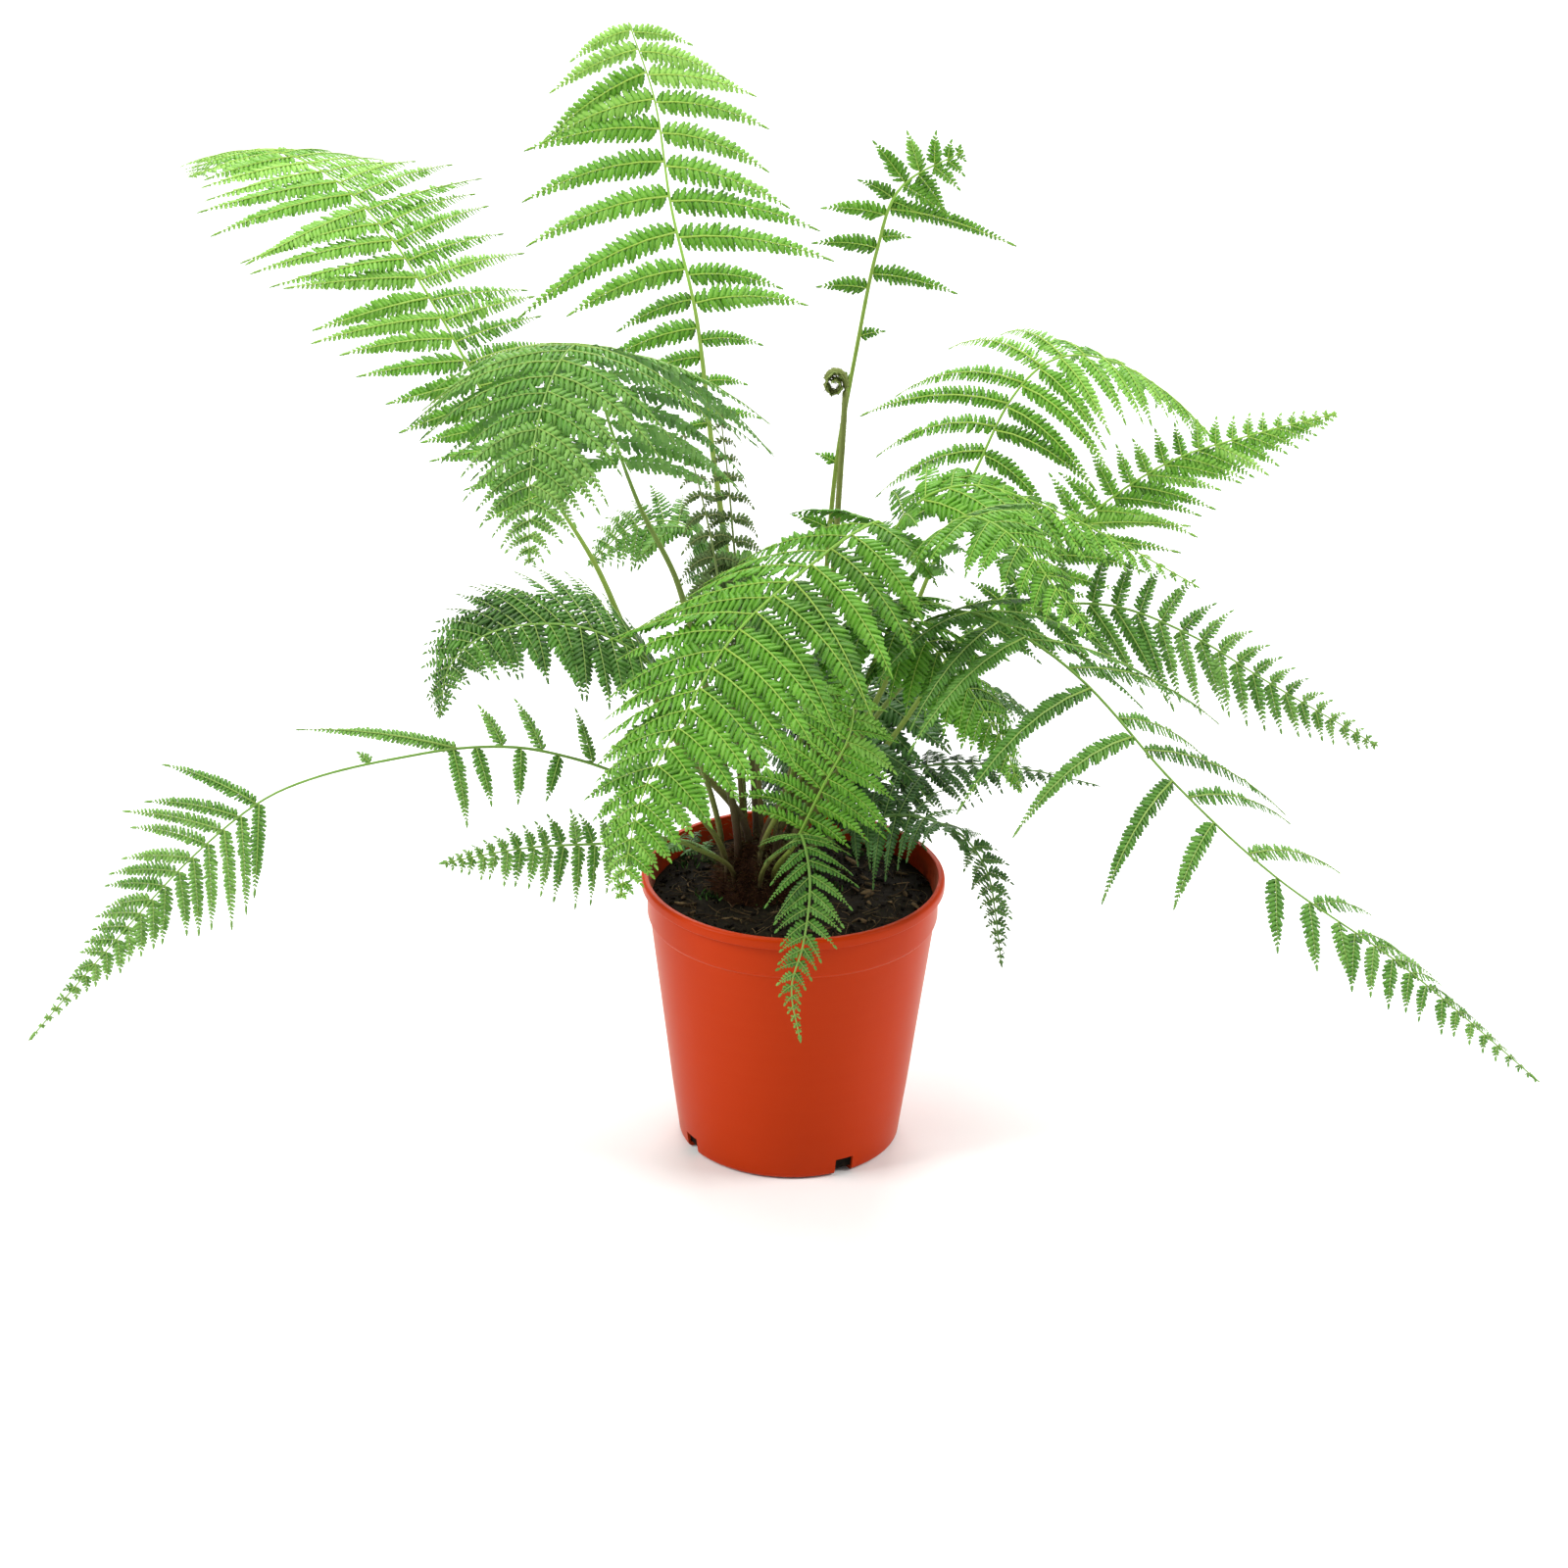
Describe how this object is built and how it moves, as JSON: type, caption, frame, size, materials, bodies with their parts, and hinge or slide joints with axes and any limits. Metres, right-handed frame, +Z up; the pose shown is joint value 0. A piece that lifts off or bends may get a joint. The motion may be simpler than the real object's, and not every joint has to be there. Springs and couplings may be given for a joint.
{
  "type": "potted soft tree fern",
  "caption": "Young soft tree fern with arching, feathery fronds, growing from a hairy crown in a tapered terracotta-coloured plastic nursery pot of peat.",
  "frame": {"origin": "the middle of the pot's base, on the surface that the pot stands on", "axes": "+Z up, -Y toward the front that the picture shows, +X to its right"},
  "size_m": [0.815, 0.4522, 0.592],
  "materials": {
    "terracotta_plastic": "satin",
    "peat": "matte",
    "hairy_root": "matte",
    "young_frond": "matte",
    "fresh_green": "satin",
    "mature_green": "satin",
    "shaded_green": "satin",
    "withered_green": "matte"
  },
  "bodies": {
    "root": {"pot": "terracotta_plastic", "peat": "peat", "crown": "hairy_root", "crozier": "young_frond", "frond_front_arch": "fresh_green", "frond_over_rim": "mature_green", "frond_front_young": "fresh_green", "frond_centre": "fresh_green", "frond_left_arch": "mature_green", "frond_right_far": "mature_green", "frond_right_inner": "fresh_green", "frond_right_arch": "fresh_green", "frond_left_tall": "fresh_green", "frond_back_tall": "fresh_green", "frond_left_far": "mature_green", "frond_left_low": "mature_green", "frond_left_middle": "mature_green", "frond_left_soil": "shaded_green", "frond_right_middle": "mature_green", "frond_right_rising": "fresh_green", "frond_right_top": "fresh_green", "frond_slender": "fresh_green", "frond_right_low": "shaded_green", "frond_back_right": "shaded_green", "frond_back_inner": "mature_green", "frond_back_low": "shaded_green", "frond_withered_left": "withered_green", "frond_withered_right": "withered_green"}
  },
  "joints": []
}
